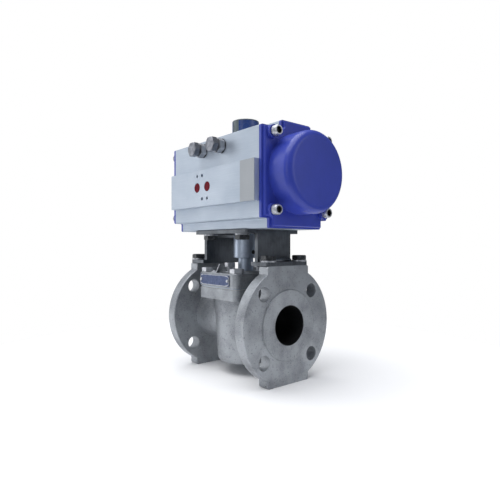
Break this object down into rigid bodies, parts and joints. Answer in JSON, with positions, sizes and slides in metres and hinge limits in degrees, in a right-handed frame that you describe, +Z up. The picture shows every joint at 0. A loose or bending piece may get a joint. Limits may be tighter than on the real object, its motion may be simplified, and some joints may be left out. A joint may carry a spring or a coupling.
{
  "type": "pneumatic actuated plug valve",
  "caption": "Flanged sleeved plug valve with a spring-return rack-and-pinion pneumatic actuator on a welded bracket: coupled stem, pinion and pistons turn a quarter turn.",
  "frame": {"origin": "centre of the inlet flange's raised face, on the pipe axis", "axes": "+X along the pipe from inlet to outlet, +Z up along the stem, -Y towards the air ports"},
  "size_m": [0.264, 0.1552, 0.3581],
  "materials": {
    "cast_steel": "as-cast stainless steel, bead blasted",
    "machined_steel": "turned stainless steel",
    "plate_steel": "rolled stainless plate, satin, with weld beads",
    "bright_fastener": "plain stainless fastener",
    "dark_fastener": "dark oiled steel",
    "anodised_aluminium": "clear anodised extrusion, fine satin",
    "blue_paint": "smooth semi-gloss blue powder coat",
    "tag_blue": "dark blue enamelled plate",
    "ptfe": "white PTFE",
    "acetal": "off-white acetal",
    "black_rubber": "nitrile rubber",
    "red_plastic": "soft red plastic",
    "grey_plastic": "grey-green moulded plastic",
    "blue_plastic": "blue moulded plastic",
    "piston_aluminium": "machined die-cast aluminium",
    "spring_steel": "epoxy-coated spring steel"
  },
  "bodies": {
    "valve_and_housing": {"valve_body": "cast_steel", "plug_sleeve": "ptfe", "wedge_ring": "ptfe", "ptfe_diaphragm": "ptfe", "metal_diaphragm": "machined_steel", "thrust_collar": "machined_steel", "top_cap": "cast_steel", "top_cap_bolts": "bright_fastener", "adjuster_screws": "bright_fastener", "name_tag": "tag_blue", "tag_rivets": "bright_fastener", "earthing_tab": "bright_fastener", "earthing_screw": "bright_fastener", "bracket": "plate_steel", "foot_washers": "bright_fastener", "foot_bolts": "dark_fastener", "mount_washers": "bright_fastener", "mount_bolts": "dark_fastener", "actuator_body": "anodised_aluminium", "port_plugs": "red_plastic", "right_end_cap": "blue_paint", "left_end_cap": "blue_paint", "right_cap_seal": "black_rubber", "left_cap_seal": "black_rubber", "right_cap_screws": "bright_fastener", "left_cap_screws": "bright_fastener", "stop_bolts": "bright_fastener", "stop_jam_nuts": "bright_fastener", "stop_seals": "black_rubber", "lower_bearing": "acetal", "upper_bearing": "acetal", "thrust_washer": "acetal", "right_springs": "spring_steel", "left_springs": "spring_steel"},
    "rotor": {"plug_stem": "machined_steel", "coupling": "machined_steel", "coupling_setscrew": "dark_fastener", "pinion": "machined_steel", "pinion_seals": "black_rubber", "circlip": "dark_fastener", "stop_cam": "machined_steel", "indicator_body": "grey_plastic", "indicator_sectors": "blue_plastic", "indicator_screw": "bright_fastener"},
    "right_piston_group": {"right_piston": "piston_aluminium", "right_piston_seal": "black_rubber", "right_piston_guides": "acetal"},
    "left_piston_group": {"left_piston": "piston_aluminium", "left_piston_seal": "black_rubber", "left_piston_guides": "acetal"}
  },
  "joints": [
    {"name": "stem_turn", "type": "hinge", "parent": "valve_and_housing", "child": "rotor", "pos_m": [0.089, 0, 0.1], "axis": [0, 0, 1], "range_deg": [0, 90], "stiffness_Nm_per_rad": 50, "springref_deg": -31.51},
    {"name": "right_piston_slide", "type": "slide", "parent": "valve_and_housing", "child": "right_piston_group", "axis": [1, 0, 0], "range_m": [0, 0.02828], "deforming": ["right_springs"]},
    {"name": "left_piston_slide", "type": "slide", "parent": "valve_and_housing", "child": "left_piston_group", "axis": [-1, 0, 0], "range_m": [0, 0.02828], "deforming": ["left_springs"]}
  ],
  "couplings": [
    {"joint": "right_piston_slide", "follows": "stem_turn", "m_per_rad": 0.018},
    {"joint": "left_piston_slide", "follows": "stem_turn", "m_per_rad": 0.018}
  ]
}
